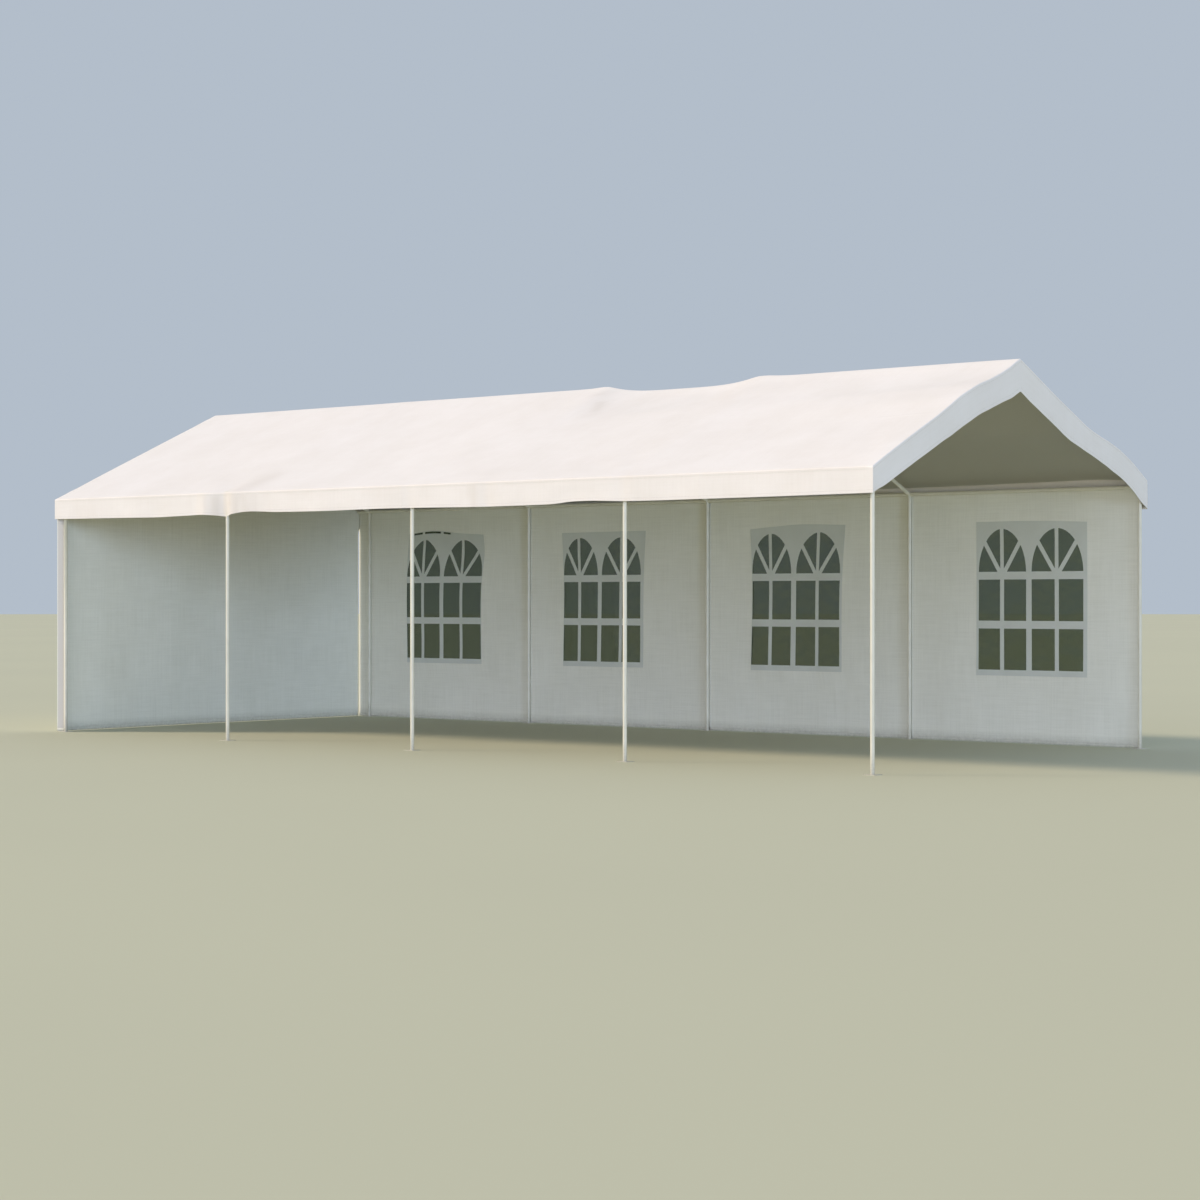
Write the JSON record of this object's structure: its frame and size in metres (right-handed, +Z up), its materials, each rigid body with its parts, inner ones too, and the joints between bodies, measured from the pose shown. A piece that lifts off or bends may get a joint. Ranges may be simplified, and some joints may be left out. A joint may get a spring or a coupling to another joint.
{
  "type": "marquee tent",
  "caption": "Long gabled party marquee: white steel tube frame on foot plates, cloth cover with valance, windowed back walls and a plain end wall, other sides open.",
  "frame": {"origin": "on the ground under the middle of the overall box, at the foot plates' undersides", "axes": "+X along the ridge towards the open gable end, -Y towards the open long side, +Z up"},
  "size_m": [9.222, 4.1, 3.0847],
  "materials": {
    "painted_steel": "white powder coat, satin",
    "cover_cloth": "white coated woven polyethylene, matt",
    "wall_cloth": "white coated woven polyethylene, matt, slightly see-through",
    "window_sheet": "clear soft sheet with printed white glazing bars, slightly rippled"
  },
  "bodies": {
    "root": {"front_post_1": "painted_steel", "front_post_2": "painted_steel", "front_post_3": "painted_steel", "front_post_4": "painted_steel", "front_post_5": "painted_steel", "back_post_1": "painted_steel", "back_post_2": "painted_steel", "back_post_3": "painted_steel", "back_post_4": "painted_steel", "back_post_5": "painted_steel", "roof_truss_1": "painted_steel", "roof_truss_2": "painted_steel", "roof_truss_3": "painted_steel", "roof_truss_4": "painted_steel", "roof_truss_5": "painted_steel", "front_eave_pole_1": "painted_steel", "front_eave_pole_2": "painted_steel", "front_eave_pole_3": "painted_steel", "front_eave_pole_4": "painted_steel", "back_eave_pole_1": "painted_steel", "back_eave_pole_2": "painted_steel", "back_eave_pole_3": "painted_steel", "back_eave_pole_4": "painted_steel", "ridge_pole_1": "painted_steel", "ridge_pole_2": "painted_steel", "ridge_pole_3": "painted_steel", "ridge_pole_4": "painted_steel", "cover_front_slope": "cover_cloth", "cover_back_slope": "cover_cloth", "front_valance": "cover_cloth", "back_valance": "cover_cloth", "right_gable_valance_front": "cover_cloth", "right_gable_valance_back": "cover_cloth", "left_gable_valance_front": "cover_cloth", "left_gable_valance_back": "cover_cloth", "back_wall_1": "wall_cloth", "back_wall_2": "wall_cloth", "back_wall_3": "wall_cloth", "back_wall_4": "wall_cloth", "left_end_wall": "wall_cloth", "window_1": "window_sheet", "window_2": "window_sheet", "window_3": "window_sheet", "window_4": "window_sheet"}
  },
  "joints": []
}
